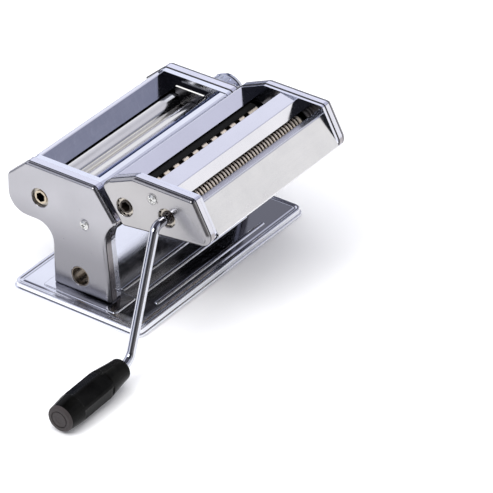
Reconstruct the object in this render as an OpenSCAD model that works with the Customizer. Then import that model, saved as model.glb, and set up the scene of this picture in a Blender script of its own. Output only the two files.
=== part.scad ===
// Hand-cranked pasta machine: smooth rollers in a sheet-steel body, and a clip-on cutter head.
// X runs along the rollers with the crank at -X, -Y is the front, +Z is up.
// The origin is the centre of the base's underside.

/* [Base] */
// Length of the base along the rollers
base_l = 236; // [225:1:250]
// Width of the base, front to back
base_w = 133; // [130:1:150]
// Height of the base's top face
base_h = 7.2; // [6.5:0.1:7.6]
// Radius of the base's corners
base_r = 9; // [4:0.5:14]
// Thickness of the base's pressed sheet
base_t = 1.4; // [1:0.1:2]

/* [Body] */
// Width over the body's two side covers
body_w = 200; // [198:1:203]
// Depth of a side cover's rim
cover_d = 10.8; // [10.4:0.1:11.2]
// Thickness of the covers' polished sheet
sheet_t = 1; // [0.8:0.1:1.2]
// Height of the leg's lower end above the table
leg_z = 8; // [7.8:0.1:8.4]

/* [Rollers] */
// Diameter of both smooth rollers
roller_d = 25; // [24.4:0.1:25.1]
// Length of a roller's barrel
roller_l = 162.4; // [160:0.2:163]
// Distance between the roller axes at the finest setting
roller_gap_axes = 25.4; // [25.3:0.1:25.6]
// Travel of the front roller from the finest to the widest setting
gap_travel = 3; // [2:0.1:3]
// Diameter of the roller journals
journal_d = 12; // [11:0.5:12]

/* [Cutter head] */
// Width over the cutter head's two covers
head_w = 193.4; // [192:0.2:194]
// Outer diameter of the cutting rings
cutter_d = 20; // [19.6:0.1:20.2]
// Distance between the axes of a pair of cutters
cutter_axes = 18.4; // [18.2:0.1:18.6]
// Width of a wide noodle
wide_cut = 6.5; // [6:0.1:6.6]
// Width of a fine noodle
fine_cut = 2; // [2:0.1:2.1]

/* [Crank] */
// Diameter of the crank's rod
rod_d = 7.8; // [7:0.1:7.8]
// Radius from the shaft's axis to the grip's axis
crank_r = 96; // [90:1:97]
// Lean of the crank arm away from the machine, in degrees
crank_lean = 61; // [58:1:64]
// Turn of the crank towards the front, in degrees
crank_turn = 7.4; // [7:0.1:9]
// Lean of the grip's axis away from the shaft's, in degrees
grip_lean = 2; // [0:0.5:2]
// Length of the grip
grip_l = 82; // [76:1:84]
// Largest diameter of the grip
grip_d = 26; // [24:0.5:26]

/* [Adjuster] */
// Diameter of the thickness knob
knob_d = 35; // [34:0.5:36]
// Outer end of the thickness knob
knob_end = 131.5; // [130:0.5:134]
// Angle between two thickness settings, in degrees
knob_step = 36; // [36]

/* [Hidden] */
$fn = 64;

// Body stations along X, counted from the middle plane
body_x = body_w/2;
rim_x = body_x - cover_d;
frame_in = 83.5;
frame_t = 2.5;
frame_out = rim_x - 0.2;
flange_t = 1.6;

// Cutter head stations along X
head_x = head_w/2;
head_rim = head_x - 9.9;
head_in = 84;
head_frame_t = 2.6;

// Axes as [y, z]
drive_axis = [46.9, 85.6];
front_axis = [drive_axis[0] - roller_gap_axes, drive_axis[1]];
wide_axis = [-37.9, 106];
wide_axis_2 = [wide_axis[0] - cutter_axes, wide_axis[1]];
fine_axis = [-79.8, 111.2];
fine_axis_2 = [fine_axis[0] - cutter_axes, fine_axis[1]];
clamp_axis = [7.1, 24.2];
cover_screw_axis = [0.9, 76.6];
rear_rod_axis = [69, 86];
front_rod_axis = [-4, 104];
low_rod_axis = [26, 58];
head_screw_axis = [-66, 124.1];
head_rear_rod = [-25.5, 114.8];
head_front_rod = [-112, 103.6];

// Radii that several parts share
socket_hole_r = 8.5;
clamp_sleeve_r = 8.9;
clamp_bore_r = 8;
hex_af = 8;
hex_r = hex_af/2/cos(30);
run = 0.05;
bush_r = 9;
rod_r = 4;
stud_r = 2.6;
core_r = 7;
cutter_journal_r = 5;
cutter_bush_r = 7;
cutter_half = 80;
block_y = 8;
block_z = 9;

// Side outline of the body, as [y, z, corner radius], anticlockwise
body_pts = [
    [-23.3, leg_z, 1.5], [35, leg_z, 1.5], [35, 62.5, 16], [81, 62.5, 19], [81, 97, 5],
    [60, 115.5, 6], [-9.3, 115.7, 4.5], [-30.2, 86.9, 3.5], [-17.3, 72, 30]
];

// Side outline of the cutter head
head_pts = [
    [-125.8, 97.8, 9], [-34.5, 86.5, 4], [-13.5, 118.5, 5], [-22, 126, 5], [-46, 136.3, 8],
    [-105.2, 136.3, 4]
];

// Slanted seat between the body and the cutter head
slant_top = [-8.9, 116.5];
slant_deg = -35.77;

function unit(v) = v/norm(v);

// Points of the arc of radius r that rounds the corner p between a and b
function corner(a, p, b, r, n=7) =
    let (u = unit(a - p), v = unit(b - p), half = acos(u*v)/2, reach = r/tan(half))
    let (c = p + unit(u + v)*r/sin(half), s = p + u*reach - c, e = p + v*reach - c)
    let (a0 = atan2(s[1], s[0]), turn = (atan2(e[1], e[0]) - a0 + 540) % 360 - 180)
    [for (i = [0:n]) c + r*[cos(a0 + turn*i/n), sin(a0 + turn*i/n)]];

function flat2(p) = [p[0], p[1]];

// Closed outline with its corners rounded
function rounded(pts) =
    let (n = len(pts))
    [for (i = [0:n - 1])
        let (p = pts[i], a = pts[(i + n - 1) % n], b = pts[(i + 1) % n])
        each p[2] > 0 ? corner(flat2(a), flat2(p), flat2(b), p[2]) : [flat2(p)]];

// Corner p moved inwards by t, for a path that turns from direction d1 to d2
function mitre(p, d1, d2, t) =
    let (n1 = [-d1[1], d1[0]], n2 = [-d2[1], d2[0]], m = (n1 + n2)/(1 + n1*n2))
    let (r = cross(d1, d2) > 0 ? p[2] - t : p[2] + t)
    [p[0] + t*m[0], p[1] + t*m[1], p[2] > 0 ? max(r, 0.4) : 0];

// Closed outline made smaller by t all round
function inset(pts, t) =
    let (n = len(pts))
    [for (i = [0:n - 1])
        let (p = flat2(pts[i]), a = flat2(pts[(i + n - 1) % n]), b = flat2(pts[(i + 1) % n]))
        mitre(pts[i], unit(p - a), unit(b - p), t)];

// Open path shifted to its left by t
function shifted(path, t) =
    let (n = len(path))
    [for (i = [0:n - 1])
        let (p = flat2(path[i]))
        let (d1 = unit(i > 0 ? p - flat2(path[i - 1]) : flat2(path[1]) - p))
        let (d2 = unit(i < n - 1 ? flat2(path[i + 1]) - p : p - flat2(path[n - 2])))
        mitre(path[i], d1, d2, t)];

// Open path with its inner corners rounded
function eased(path) =
    let (n = len(path))
    [for (i = [0:n - 1])
        let (p = path[i])
        each i > 0 && i < n - 1 && p[2] > 0
            ? corner(flat2(path[i - 1]), flat2(p), flat2(path[i + 1]), p[2], 8) : [flat2(p)]];

function backwards(list) = [for (i = [len(list) - 1:-1:0]) list[i]];

// Section of a bent sheet of thickness t that lies to the left of its path
function sheet(path, t) = concat(eased(path), backwards(eased(shifted(path, t))));

// Extrudes a side section from x0 to x1
module span(x0, x1) {
    translate([x0, 0, 0]) rotate([90, 0, 90]) linear_extrude(x1 - x0) children();
}

// Cylinder along X about an axis given as [y, z]
module bar(axis, r, x0, x1) {
    translate([x0, axis[0], axis[1]]) rotate([0, 90, 0]) cylinder(r=r, h=x1 - x0);
}

// Hexagonal bar along X, turned about its own axis
module hex_bar(axis, r, x0, x1, turn=0) {
    translate([x0, axis[0], axis[1]]) rotate([turn, 0, 0]) rotate([0, 90, 0])
        cylinder(r=r, h=x1 - x0, $fn=6);
}

// Turned part about an X axis, from a profile of [x, radius] points
module turned(axis, profile) {
    translate([0, axis[0], axis[1]]) rotate([0, 90, 0]) rotate([0, 0, 90])
        rotate_extrude() polygon([for (p = profile) [p[1], p[0]]]);
}

// The same shape on both sides of the middle plane
module both_sides() {
    children();
    mirror([1, 0, 0]) children();
}

// ---- Base ----

module base_outline(shrink) {
    l = base_l/2 - shrink;
    w = base_w/2 - shrink;
    r = base_r - shrink/2;
    polygon(rounded([[-l, -w, r], [l, -w, r], [l, w, r], [-l, w, r]]));
}

module base_rib(y, w) {
    translate([-76, y - w/2, base_h - base_t]) cube([152, w, base_t + 0.7]);
}

foot_screws = [[91.5, -12], [91.5, 26]];

module base_plate() {
    color("silver") difference() {
        union() {
            linear_extrude(3) base_outline(0);
            linear_extrude(base_h) base_outline(1.6);
            for (side = [-1, 1]) translate([side*93 - 14.5, -35, 0]) cube([29, 76, leg_z]);
            for (y = [-52, -34, -17.5, 48]) base_rib(y, 3);
        }
        translate([0, 0, -1]) linear_extrude(base_h - base_t + 1) base_outline(4);
        for (s = foot_screws, side = [-1, 1])
            translate([side*s[0], s[1], base_h - 2]) cylinder(r=2.1, h=4);
    }
}

module rubber_feet() {
    color("dimgray") for (x = [-92, 92], y = [-50, 50])
        translate([x, y, 0]) difference() {
            cylinder(r=9, h=base_h - base_t);
            translate([0, 0, -1]) cylinder(r=3, h=2.5);
        }
}

module base_screws() {
    color("gainsboro") for (s = foot_screws, side = [-1, 1])
        translate([side*s[0], s[1], 2.6]) {
            cylinder(r=4, h=base_h - base_t - 2.6);
            cylinder(r=2, h=leg_z + 2.2 - 2.6);
        }
}

// ---- Body shell ----

module cover_shell(pts, x_in, x_out, t) {
    difference() {
        span(x_in, x_out) polygon(rounded(pts));
        span(x_in - 1, x_out - t) polygon(rounded(inset(pts, t)));
    }
}

module foot_screw_holes(r) {
    for (s = foot_screws) translate([s[0], s[1], leg_z - 1]) cylinder(r=r, h=5);
}

module left_side_cover() {
    color("lightsteelblue") mirror([1, 0, 0]) difference() {
        cover_shell(body_pts, rim_x, body_x, sheet_t);
        foot_screw_holes(2.1);
        bar(drive_axis, socket_hole_r, rim_x, body_x + 1);
        bar(clamp_axis, clamp_sleeve_r, rim_x, body_x + 1);
        bar(cover_screw_axis, 2.2, rim_x, body_x + 1);
    }
}

module right_side_cover() {
    color("lightsteelblue") difference() {
        cover_shell(body_pts, rim_x, body_x, sheet_t);
        foot_screw_holes(2.1);
        bar(front_axis, 6, rim_x, body_x + 1);
        bar(clamp_axis, clamp_sleeve_r, rim_x, body_x + 1);
        bar(cover_screw_axis, 2.2, rim_x, body_x + 1);
    }
}

module side_frame() {
    difference() {
        union() {
            difference() {
                span(frame_in, frame_out) polygon(rounded(inset(body_pts, 0.8)));
                span(frame_in + frame_t, frame_out + 1)
                    polygon(rounded(inset(body_pts, 0.8 + flange_t)));
            }
            translate([frame_in, -20, leg_z + 1.05]) cube([14.5, 52, 1.6]);
        }
        bar(drive_axis, bush_r, 80, 100);
        bar(clamp_axis, clamp_sleeve_r, 80, 100);
        for (a = [rear_rod_axis, front_rod_axis, low_rod_axis]) bar(a, stud_r, 80, 100);
        bar(cover_screw_axis, 3.6, 80, 100);
        translate([80, front_axis[0] - block_y - gap_travel - 0.3, front_axis[1] - block_z - 0.1])
            cube([20, 2*block_y + gap_travel + 0.6, 2*block_z + 0.2]);
        foot_screw_holes(2);
    }
}

module left_side_frame() {
    color("slategray") mirror([1, 0, 0]) side_frame();
}

module right_side_frame() {
    color("slategray") side_frame();
}

// Rear sheet: chute, top fold, rear wall and a hem under the roller
rear_path = [
    [48.4, 99.6, 0], [60.2, 111.4, 1.5], [63.6, 111.4, 2], [79.2, 97.4, 4],
    [79.2, 81, 14], [69, 66.5, 0]
];

module rear_cover() {
    color("lightslategray") span(-frame_in, frame_in) polygon(sheet(backwards(rear_path), 1));
}

// Front sheet: chute, top flange and the slanted wall behind the cutter head
front_path = [
    [16.6, 100.9, 0], [7.5, 110.5, 40], [-2.5, 114.3, 2], [-8.6, 114.3, 3], [-27.6, 87.6, 3],
    [-16.6, 72.5, 8], [-13, 66, 0]
];

module front_cover() {
    color("lightslategray") span(-frame_in, frame_in) polygon(sheet(front_path, 1));
}

module dough_guide() {
    difference() {
        union() {
            span(78.3, 79.5)
                polygon([[11.9, 107.7], [11.9, 106.6], [17.6, 101.2], [17.6, 92], [41, 92], [41, 107.7]]);
            span(78.3, frame_in) polygon([[11.9, 106.6], [41, 106.6], [41, 107.7], [11.9, 107.7]]);
        }
        for (shift = [0, gap_travel/2, gap_travel])
            bar([front_axis[0] - shift, front_axis[1]], roller_d/2 + 0.5, 70, 90);
        bar(drive_axis, roller_d/2 + 0.5, 70, 90);
        translate([70, 38, 90]) cube([9.6, 10, 11]);
    }
}

module dough_guides() {
    color("gray") both_sides() dough_guide();
}

module plain_tie_rod(axis, x_in, x_stud) {
    bar(axis, rod_r, -x_in, x_in);
    bar(axis, stud_r, -x_stud, x_stud);
}

module tie_rods() {
    color("silver") {
        for (a = [rear_rod_axis, front_rod_axis, low_rod_axis]) plain_tie_rod(a, frame_in, frame_out);
        difference() {
            union() {
                bar(cover_screw_axis, rod_r + 1, -frame_in, frame_in);
                bar(cover_screw_axis, 3.6, -(body_x - sheet_t), body_x - sheet_t);
            }
            both_sides() bar(cover_screw_axis, 2, body_x - 9, body_x);
        }
    }
}

module nut(axis, r_hole, x0, t) {
    difference() {
        hex_bar(axis, r_hole*2, x0, x0 + t);
        bar(axis, r_hole, x0 - 1, x0 + t + 1);
    }
}

module tie_rod_nuts() {
    color("gainsboro") both_sides()
        for (a = [rear_rod_axis, front_rod_axis, low_rod_axis]) nut(a, stud_r, frame_in + frame_t, 2.8);
}

// Cross-head screw along +X whose head sits on the plane x0
module cross_screw(axis, x0, head_r, shank_r, shank_l) {
    difference() {
        union() {
            turned(axis, [
                [x0, 0], [x0, head_r], [x0 + 0.9, head_r], [x0 + 2, head_r*0.55], [x0 + 2, 0]
            ]);
            bar(axis, shank_r, x0 - shank_l, x0);
        }
        for (a = [0, 90]) translate([x0 + 0.9, axis[0], axis[1]]) rotate([a, 0, 0])
            translate([0, -head_r*0.45, -0.5]) cube([2, head_r*0.9, 1]);
    }
}

module cover_screws() {
    color("white") both_sides() cross_screw(cover_screw_axis, body_x, 4.2, 2, 8);
}

module drive_roller_bushes() {
    color("ivory") both_sides() difference() {
        union() {
            bar(drive_axis, bush_r, frame_in - 0.8, frame_out - 1);
            bar(drive_axis, bush_r + 1.5, frame_in - 1.2, frame_in);
        }
        bar(drive_axis, journal_d/2 + run, 80, 100);
    }
}

// Scraper blade whose edge stands just off the roller's lower outer face
module scraper(axis, way) {
    tip = [axis[0] + way*8.2, axis[1] - 10.2];
    span(-frame_in + 1.4, frame_in - 1.4)
        polygon([tip, tip + [way*3.6, -5.6], tip + [way*5, -4.8], tip + [way*1.2, 0.6]]);
}

module rear_roller_scraper() {
    color("dimgray") {
        scraper(drive_axis, 1);
        both_sides() translate([frame_in - 1.6, 57, 68]) cube([1.6, 5, 5]);
    }
}

module clamp_sleeves() {
    color("darkgray") both_sides() difference() {
        bar(clamp_axis, clamp_sleeve_r, frame_in, body_x - 0.6);
        bar(clamp_axis, clamp_bore_r, 80, 110);
    }
}

// Shape on the slanted seat: local x along X, y towards the body, z up the slope
module on_slant(x, y, z) {
    translate([x, slant_top[0], slant_top[1]]) rotate([slant_deg, 0, 0]) translate([0, y, z]) children();
}

module head_rail() {
    difference() {
        on_slant(67, 0, -31) translate([-9, -2.9, 0]) cube([18, 4.4, 26]);
        on_slant(67, 0, -29.6) translate([-6.9, -1.7, 0]) cube([13.8, 2.4, 40]);
        on_slant(67, 0, -29.6) translate([-4.2, -4, 0]) cube([8.4, 4, 40]);
    }
}

module head_rails() {
    color("gray") both_sides() head_rail();
}

module dial_plate() {
    color("gainsboro") difference() {
        bar(front_axis, 14, body_x, body_x + 2.4);
        bar(front_axis, 5 + run, body_x - 1, body_x + 3);
        turned(front_axis, [
            [body_x + 1.2, 9.4], [body_x + 3, 9.4], [body_x + 3, 12.6], [body_x + 1.2, 12.6]
        ]);
        for (i = [0:8]) translate([body_x - 1, front_axis[0], front_axis[1]]) rotate([i*knob_step, 0, 0])
            translate([0, 0, 11]) rotate([0, 90, 0]) cylinder(r=1.3, h=4);
    }
}

// ---- Smooth rollers ----

module drive_roller() {
    color("whitesmoke") difference() {
        union() {
            bar(drive_axis, roller_d/2, -roller_l/2, roller_l/2);
            bar(drive_axis, journal_d/2, -body_x + 1.4, frame_out - 0.4);
        }
        hex_bar(drive_axis, hex_r, -body_x, -body_x + 25);
    }
}

module front_roller() {
    color("whitesmoke") {
        bar(front_axis, roller_d/2, -roller_l/2, roller_l/2);
        bar(front_axis, journal_d/2, -body_x + 2.7, 88);
    }
}

// Involute gear outline: n teeth, module m, teeth thinned by slack for backlash
pressure = 25;
function inv(a) = tan(a) - a*PI/180;
function flank(rb, r) = let (a = acos(min(1, rb/r))) inv(a)*180/PI;
function tooth(n, m, slack) =
    let (rp = n*m/2, rb = rp*cos(pressure), root = rp - 1.25*m, tip = rp + m)
    let (half = 90/n - slack/2/rp*180/PI + inv(pressure)*180/PI)
    let (r0 = max(rb, root), steps = 6)
    concat([[root, -half]],
        [for (i = [0:steps]) let (r = r0 + (tip - r0)*i/steps) [r, -half + flank(rb, r)]],
        [for (i = [steps:-1:0]) let (r = r0 + (tip - r0)*i/steps) [r, half - flank(rb, r)]],
        [[root, half]]);
function gear_outline(n, m, slack, turn) =
    [for (k = [0:n - 1], p = tooth(n, m, slack))
        p[0]*[cos(p[1] + turn + k*360/n), sin(p[1] + turn + k*360/n)]];

gear_n = 12;

// Gear along X with a plain hub bore
module gear(axis, axes, turn, bore_r, x0, x1) {
    difference() {
        span(x0, x1) translate(axis) polygon(gear_outline(gear_n, axes/gear_n, axes/60, turn));
        bar(axis, bore_r, x0 - 1, x1 + 1);
    }
}

module drive_roller_gear() {
    color("darkgoldenrod") gear(drive_axis, roller_gap_axes, 0, journal_d/2, -97, -90.6);
}

module front_roller_gear() {
    color("darkgoldenrod") gear(front_axis, roller_gap_axes, 180/gear_n, journal_d/2, -97, -90.6);
}

// Blocks that slide in the frames' slots and carry the front roller
module bearing_block() {
    y = front_axis[0];
    z = front_axis[1];
    difference() {
        union() {
            translate([frame_in - 1, y - block_y, z - block_z]) cube([5.9, 2*block_y, 2*block_z]);
            translate([frame_in - 1.1, y - block_y - 1, z - 11]) cube([0.9, 2*block_y + 2, 22]);
        }
        bar(front_axis, journal_d/2 + run, 80, 100);
    }
}

module bearing_blocks() {
    color("ivory") {
        both_sides() bearing_block();
        translate([frame_out - 0.6, front_axis[0] - 13, front_axis[1] - 7]) cube([1.2, 20, 14]);
        bar([front_axis[0] - 10.3, front_axis[1]], 2, frame_out, 95.4);
    }
}

module front_roller_scraper() {
    color("dimgray") {
        scraper(front_axis, -1);
        both_sides() translate([frame_in - 2, front_axis[0] - 11, front_axis[1] - 16])
            cube([0.9, 5, 9]);
    }
}

// ---- Thickness adjuster ----

cam_low = 8;

// Snail cam: its radius grows by the gap's travel over the knob's range
module adjuster_cam() {
    range = 8*knob_step;
    rest = 360 - range;
    color("goldenrod") difference() {
        span(90.6, 95.2) translate(front_axis) polygon(concat(
            [for (a = [0:6:range]) (cam_low + gap_travel*a/range)*[cos(180 - a), sin(180 - a)]],
            [for (a = [6:6:rest - 6]) (cam_low + gap_travel*(1 - a/rest))
                *[cos(180 - range - a), sin(180 - range - a)]]));
        bar(front_axis, 5, 90, 96);
    }
}

module adjuster_shaft() {
    color("silver") difference() {
        union() {
            bar(front_axis, 5, 89.8, 126.6);
            bar(front_axis, 6.8, 95.2, 98.8);
        }
        bar(front_axis, 2, 112, 130);
    }
}

module knob_retaining_screw() {
    color("white") {
        cross_screw(front_axis, 127.4, 5.2, 2, 14);
        difference() {
            bar(front_axis, 8.6, 126.6, 127.4);
            bar(front_axis, 2, 126, 128);
        }
    }
}

module adjusting_knob() {
    r = knob_d/2;
    color("silver") difference() {
        turned(front_axis, [
            [100.8, r - 1.6], [100.8, r], [123.5, r], [124.4, r - 0.9], [125.6, r - 0.9], [126.4, r - 0.2],
            [knob_end - 2, r - 1], [knob_end, r - 4.5], [knob_end, 11.2], [114, 11.2], [114, 5 + run],
            [104, 5 + run], [104, r - 1.6]
        ]);
        for (i = [0:17]) translate([117, front_axis[0], front_axis[1]]) rotate([i*20, 0, 0])
            translate([0, 0, r + 0.7]) rotate([0, 90, 0]) cylinder(r=1.3, h=5.5, $fn=24);
    }
}

module index_pin() {
    color("gray") translate([101.5, front_axis[0], front_axis[1] + 11]) rotate([0, 90, 0])
        cylinder(r=1.2, h=2.5);
}

// Compression spring between the knob's floor and the retaining washer
module knob_spring() {
    turns = 5;
    lead = 2.75;
    color("gray") for (i = [0:turns - 1])
        translate([114.8 + i*lead, front_axis[0], front_axis[1]]) rotate([0, 90, 0])
            rotate_extrude() translate([7.4, 0]) circle(r=0.7, $fn=24);
}

// ---- Cutter head ----

module head_cover(socket) {
    difference() {
        cover_shell(head_pts, head_rim, head_x, sheet_t);
        if (socket) {
            bar(wide_axis, 8.3, head_rim, head_x + 1);
            bar(fine_axis, 8.3, head_rim, head_x + 1);
        }
        bar(head_screw_axis, 2.2, head_rim, head_x + 1);
    }
}

module head_left_cover() {
    color("lightsteelblue") mirror([1, 0, 0]) head_cover(true);
}

module head_right_cover() {
    color("lightsteelblue") head_cover(false);
}

module head_frame() {
    difference() {
        span(head_in, head_rim - 0.1) polygon(rounded(inset(head_pts, 0.8)));
        span(head_in + head_frame_t - 0.8, head_rim + 1) polygon(rounded(inset(head_pts, 3)));
        for (a = [wide_axis, wide_axis_2, fine_axis, fine_axis_2]) bar(a, cutter_bush_r, 80, 90);
        for (a = [head_rear_rod, head_front_rod]) bar(a, 1.9, 80, 90);
        bar(head_screw_axis, 2.9, 80, 90);
    }
}

module head_left_frame() {
    color("slategray") mirror([1, 0, 0]) head_frame();
}

module head_right_frame() {
    color("slategray") head_frame();
}

head_rear_path = [[-30.4, 95.1, 0], [-14.8, 117, 3], [-22.8, 126.2, 1.5], [-35, 118.7, 0]];
head_centre_path = [[-53, 119.5, 0], [-63.3, 134.9, 1.2], [-79, 133.2, 1.2], [-85.4, 125, 0]];
head_front_path = [
    [-91, 120.5, 0], [-94.6, 124, 1], [-104.4, 128, 1.5], [-122.8, 103.6, 1.5], [-120.6, 101.4, 0]
];

module head_rear_plate() {
    color("lavender") span(-head_in, head_in) polygon(sheet(head_rear_path, 0.9));
}

module head_centre_plate() {
    color("lavender") span(-head_in, head_in) polygon(sheet(head_centre_path, 0.9));
}

module head_front_plate() {
    color("gainsboro") span(-head_in, head_in) polygon(sheet(head_front_path, 0.9));
}

// Tongues that slide in the body's rails
module head_hooks() {
    color("gray") both_sides() {
        on_slant(67, 0, -29) translate([-6.5, -1.3, 0]) cube([13, 1.6, 22]);
        on_slant(67, 0, -29) translate([-3.8, -4.9, 0]) cube([7.6, 3.7, 22]);
    }
}

module head_tie_rods() {
    color("silver") {
        for (a = [head_rear_rod, head_front_rod]) {
            bar(a, 2.5, -head_in, head_in);
            bar(a, 1.9, -head_rim, head_rim);
        }
        difference() {
            union() {
                bar(head_screw_axis, 3.6, -head_in, head_in);
                bar(head_screw_axis, 2.9, -(head_x - sheet_t), head_x - sheet_t);
            }
            both_sides() bar(head_screw_axis, 1.7, head_x - 9, head_x);
        }
    }
}

module head_tie_rod_nuts() {
    color("gainsboro") both_sides()
        for (a = [head_rear_rod, head_front_rod]) nut(a, 1.9, head_in + head_frame_t - 0.8, 2);
}

module head_screws() {
    color("white") both_sides() cross_screw(head_screw_axis, head_x, 4.2, 1.7, 8);
}

module cutter_bushes() {
    color("ivory") both_sides() for (a = [wide_axis, wide_axis_2, fine_axis, fine_axis_2])
        difference() {
            bar(a, cutter_bush_r, head_in - 1, head_rim + 0.6);
            bar(a, cutter_journal_r + run, 80, 90);
        }
}

// Part of a turned shape about an X axis, between two angles counted from +Y towards +Z
module turned_arc(axis, a_low, a_high, profile) {
    translate([0, axis[0], axis[1]]) rotate([0, 90, 0]) rotate([0, 0, 90 + a_low])
        rotate_extrude(angle=a_high - a_low) polygon([for (p = profile) [p[1], p[0]]]);
}

// Stripper comb: a curved back with one tine in each groove, on the outer side of its cutter
module comb(axis, cut, first, a_low, a_high) {
    back = cutter_d/2 + 1.2;
    edge = cutter_d/2 + 0.4;
    tip = core_r + 0.4;
    w = cut/2 - 0.35;
    turned_arc(axis, a_low, a_high, concat([[-cutter_half, edge]],
        [for (x = [first:2*cut:cutter_half - cut/2])
            each [[x - w, edge], [x - w, tip], [x + w, tip], [x + w, edge]]],
        [[cutter_half, edge], [cutter_half, back], [-cutter_half, back]]));
    both_sides() turned_arc(axis, a_low, a_low + 40,
        [[cutter_half - 0.2, edge], [head_in, edge], [head_in, back], [cutter_half - 0.2, back]]);
}

function groove_start(cut, offset) = -floor((cutter_half - cut)/(2*cut))*2*cut + offset;

module wide_combs() {
    color("black") {
        comb(wide_axis, wide_cut, groove_start(wide_cut, 0), -60, 110);
        comb(wide_axis_2, wide_cut, groove_start(wide_cut, wide_cut), 110, 240);
    }
}

module fine_combs() {
    color("black") {
        comb(fine_axis, fine_cut, groove_start(fine_cut, 0), -60, 72);
        comb(fine_axis_2, fine_cut, groove_start(fine_cut, fine_cut), 110, 240);
    }
}

// Profile of the drive cutter from -X to +X, with a groove for each ring of the driven one
function drive_profile(cut) =
    let (r = cutter_d/2, w = cut/2 + 0.15)
    concat([[-cutter_half, 0], [-cutter_half, r]],
        [for (x = [groove_start(cut, 0):2*cut:cutter_half - cut/2])
            each [[x - w, r], [x - w, core_r], [x + w, core_r], [x + w, r]]],
        [[cutter_half, r], [cutter_half, 0]]);

// Profile of the driven cutter, whose rings run in the drive cutter's grooves
function driven_profile(cut) =
    let (r = cutter_d/2, w = cut/2 - 0.15)
    concat([[-cutter_half, 0], [-cutter_half, core_r]],
        [for (x = [groove_start(cut, 0):2*cut:cutter_half - cut/2])
            each [[x - w, core_r], [x - w, r], [x + w, r], [x + w, core_r]]],
        [[cutter_half, core_r], [cutter_half, 0]]);

module cutter(axis, profile, x_left, socket, turn=0) {
    difference() {
        union() {
            turned(axis, profile);
            bar(axis, cutter_journal_r, cutter_half - 0.1, head_rim);
            bar(axis, cutter_journal_r, -x_left, -cutter_half + 0.1);
            if (socket) bar(axis, cutter_journal_r + 0.6, -x_left, -94.2);
        }
        if (socket) hex_bar(axis, hex_r, -x_left - 1, -x_left + 22, turn);
    }
}

module wide_drive_cutter() {
    color("antiquewhite") cutter(wide_axis, drive_profile(wide_cut), head_x - 1.4, true);
}

module wide_driven_cutter() {
    color("antiquewhite") cutter(wide_axis_2, driven_profile(wide_cut), 94.2, false);
}

module fine_drive_cutter() {
    color("antiquewhite") cutter(fine_axis, drive_profile(fine_cut), head_x - 1.4, true, -crank_turn);
}

module fine_driven_cutter() {
    color("antiquewhite") cutter(fine_axis_2, driven_profile(fine_cut), 94.2, false);
}

module cutter_gear(axis, turn) {
    gear(axis, cutter_axes, turn, cutter_journal_r, -94.2, -88.2);
}

module wide_drive_gear() {
    color("darkgoldenrod") cutter_gear(wide_axis, 0);
}

module wide_driven_gear() {
    color("darkgoldenrod") cutter_gear(wide_axis_2, 180/gear_n);
}

module fine_drive_gear() {
    color("darkgoldenrod") cutter_gear(fine_axis, 0);
}

module fine_driven_gear() {
    color("darkgoldenrod") cutter_gear(fine_axis_2, 180/gear_n);
}

// ---- Crank ----

// The crank is drawn in its own plane: local x outwards along -X, local y away from the shaft's axis
module in_crank_plane() {
    translate([0, fine_axis[0], fine_axis[1]]) rotate([-crank_turn, 0, 0])
        mirror([1, 0, 0]) rotate([-90, 0, 0]) children();
}

bend_r = [9, 14];
arm_start = 111.5;
arm_end = arm_start + crank_r/tan(crank_lean);
grip_start = 174;
grip_end = grip_start + grip_l;
rod_end = grip_end - 8;

// Straight length of rod from a point, in a direction given in degrees, with both ends let into
// the bends, which are a hair thicker
let_in = 0.4;
module rod(x, y, way, l) {
    translate([x, y, 0]) rotate([0, 0, way]) translate([-let_in, 0, 0]) rotate([0, 90, 0])
        cylinder(d=rod_d, h=l + 2*let_in);
}

// Bend of radius r that starts at a point and turns from one direction by an angle
module bend(x, y, way, r, turn) {
    side = sign(turn);
    translate([x, y, 0]) rotate([0, 0, way]) translate([0, side*r, 0])
        rotate([0, 0, side > 0 ? -90 : 90 + turn]) rotate_extrude(angle=abs(turn))
            translate([r, 0]) circle(d=rod_d + 0.06);
}

// Local x along the grip's axis, still counted from the cutter head
module along_grip() {
    translate([arm_end, crank_r, 0]) rotate([0, 0, grip_lean]) translate([-arm_end, 0, 0]) children();
}

module crank_rod() {
    turns = [crank_lean, crank_lean - grip_lean];
    cut = [for (i = [0, 1]) bend_r[i]*tan(turns[i]/2)];
    u = [cos(crank_lean), sin(crank_lean)];
    straight = crank_r/sin(crank_lean) - cut[0] - cut[1];
    a = [arm_start, 0] + cut[0]*u;
    b = a + straight*u;
    color("silver") in_crank_plane() {
        rod(94, 0, 0, arm_start - cut[0] - 94);
        translate([76, 0, 0]) rotate([30, 0, 0]) rotate([0, 90, 0]) cylinder(r=hex_r - 0.1, h=18, $fn=6);
        bend(arm_start - cut[0], 0, 0, bend_r[0], crank_lean);
        rod(a[0], a[1], crank_lean, straight);
        bend(b[0], b[1], crank_lean, bend_r[1], -turns[1]);
        along_grip() rod(arm_end + cut[1], 0, 0, rod_end - arm_end - cut[1]);
    }
}

// Turned part about the grip's axis, from a profile of [distance along -X, radius] points
module on_grip_axis(profile) {
    in_crank_plane() along_grip() rotate([0, 90, 0])
        rotate_extrude() polygon([for (p = profile) [p[1], p[0]]]);
}

module grip_washer() {
    r = rod_d/2;
    color("gray") on_grip_axis([
        [rod_end - 2.2, r], [rod_end - 2.2, 7.4], [rod_end - 0.8, 7.4], [rod_end - 0.8, r]
    ]);
}

module crank_grip() {
    r = grip_d/2;
    bore = rod_d/2 + 0.08;
    color("black") on_grip_axis([
        [grip_start, bore], [grip_start, 7.5], [grip_start + 0.8, 8.9], [grip_start + 2.4, 9.7],
        [grip_start + 28, r], [grip_end - 17, r], [grip_end - 16.4, r - 0.5], [grip_end - 3, r - 1.6],
        [grip_end - 3, 9], [rod_end - 3, 9], [rod_end - 3, bore]
    ]);
}

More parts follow.
